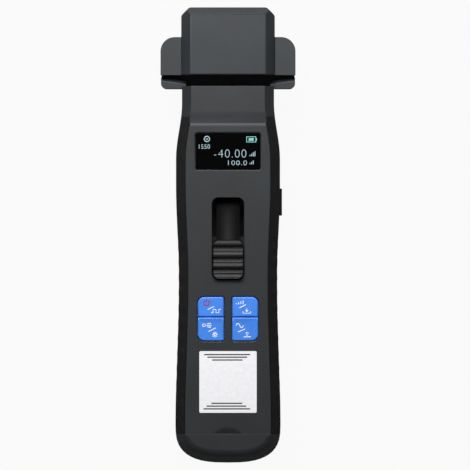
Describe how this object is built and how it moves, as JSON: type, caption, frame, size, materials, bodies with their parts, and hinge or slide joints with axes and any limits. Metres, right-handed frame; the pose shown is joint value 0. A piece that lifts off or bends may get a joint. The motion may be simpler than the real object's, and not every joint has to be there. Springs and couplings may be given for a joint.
{
  "type": "optical fibre identifier",
  "caption": "Hand-held optical fibre identifier with a slotted sensing head, thumb slider, display, keys and a hinged cap over its test ports.",
  "frame": {"origin": "Middle of the footprint, on the rear face that it lies on.", "axes": "+X to the right seen from the front, +Y to the sensing head, +Z out of the front face."},
  "size_m": [0.0662, 0.2232, 0.037],
  "materials": {
    "shell": "fine texture",
    "grip": "matte",
    "black_plastic": "satin",
    "white_plastic": "satin",
    "key_blue": "satin",
    "window": "polished",
    "display": "polished",
    "label": "paper",
    "foam": "soft",
    "board": "lacquered",
    "flex": "film",
    "cell": "foil",
    "lead": "satin",
    "lamp": "clear",
    "steel": "plated",
    "brass": "turned"
  },
  "bodies": {
    "housing": {"front_shell": "shell", "rear_shell": "shell", "hood": "shell", "grip_left": "grip", "grip_right": "grip", "end_cap_pin": "steel", "port_cover_pin": "steel", "display_window": "window", "display_panel": "display", "display_holder": "black_plastic", "display_flex": "flex", "slide_track": "black_plastic", "detent_spring": "steel", "rod_guide": "white_plastic", "anvil_block": "black_plastic", "photodiode_left": "steel", "photodiode_right": "steel", "sensor_board": "board", "sensor_flex": "flex", "keypad_mat": "key_blue", "key_domes": "steel", "key_board": "board", "key_header": "black_plastic", "main_board": "board", "board_chips": "black_plastic", "board_screws": "steel", "usb_socket": "steel", "battery_pack": "cell", "battery_lead": "lead", "buzzer": "black_plastic", "port_plate": "black_plastic", "laser_port": "steel", "meter_port": "steel", "torch_led": "lamp", "laser_module": "brass", "meter_detector": "steel", "tail_leads": "lead", "label_sticker": "label", "case_screws": "steel", "hood_screws": "steel"},
    "slider": {"slide_knob": "black_plastic", "slide_carriage": "white_plastic", "carriage_screws": "steel", "push_rods": "steel", "press_springs": "steel"},
    "press": {"press_head": "black_plastic", "press_pad": "foam"},
    "cap": {"end_cap": "shell"},
    "cover": {"port_cover": "grip"},
    "upper_left": {"key_upper_left": "key_blue"},
    "upper_right": {"key_upper_right": "key_blue"},
    "lower_left": {"key_lower_left": "key_blue"},
    "lower_right": {"key_lower_right": "key_blue"}
  },
  "joints": [
    {"name": "slider_slide", "type": "slide", "parent": "housing", "child": "slider", "axis": [0, 1, 0], "range_m": [0, 0.02]},
    {"name": "press_cushion", "type": "slide", "parent": "slider", "child": "press", "axis": [0, -1, 0], "range_m": [0, 0.0025], "stiffness_N_per_m": 400, "springref_m": -0.001, "deforming": ["press_springs"]},
    {"name": "cap_hinge", "type": "hinge", "parent": "housing", "child": "cap", "pos_m": [0, -0.0974, 0.0026], "axis": [1, 0, 0], "range_deg": [0, 90]},
    {"name": "cover_hinge", "type": "hinge", "parent": "housing", "child": "cover", "pos_m": [0.02566, 0.01615, 0.0153], "axis": [0, 1, 0], "range_deg": [0, 110]},
    {"name": "upper_left_press", "type": "slide", "parent": "housing", "child": "upper_left", "axis": [0, 0, -1], "range_m": [0, 0.0008], "stiffness_N_per_m": 400},
    {"name": "upper_right_press", "type": "slide", "parent": "housing", "child": "upper_right", "axis": [0, 0, -1], "range_m": [0, 0.0008], "stiffness_N_per_m": 400},
    {"name": "lower_left_press", "type": "slide", "parent": "housing", "child": "lower_left", "axis": [0, 0, -1], "range_m": [0, 0.0008], "stiffness_N_per_m": 400},
    {"name": "lower_right_press", "type": "slide", "parent": "housing", "child": "lower_right", "axis": [0, 0, -1], "range_m": [0, 0.0008], "stiffness_N_per_m": 400}
  ]
}
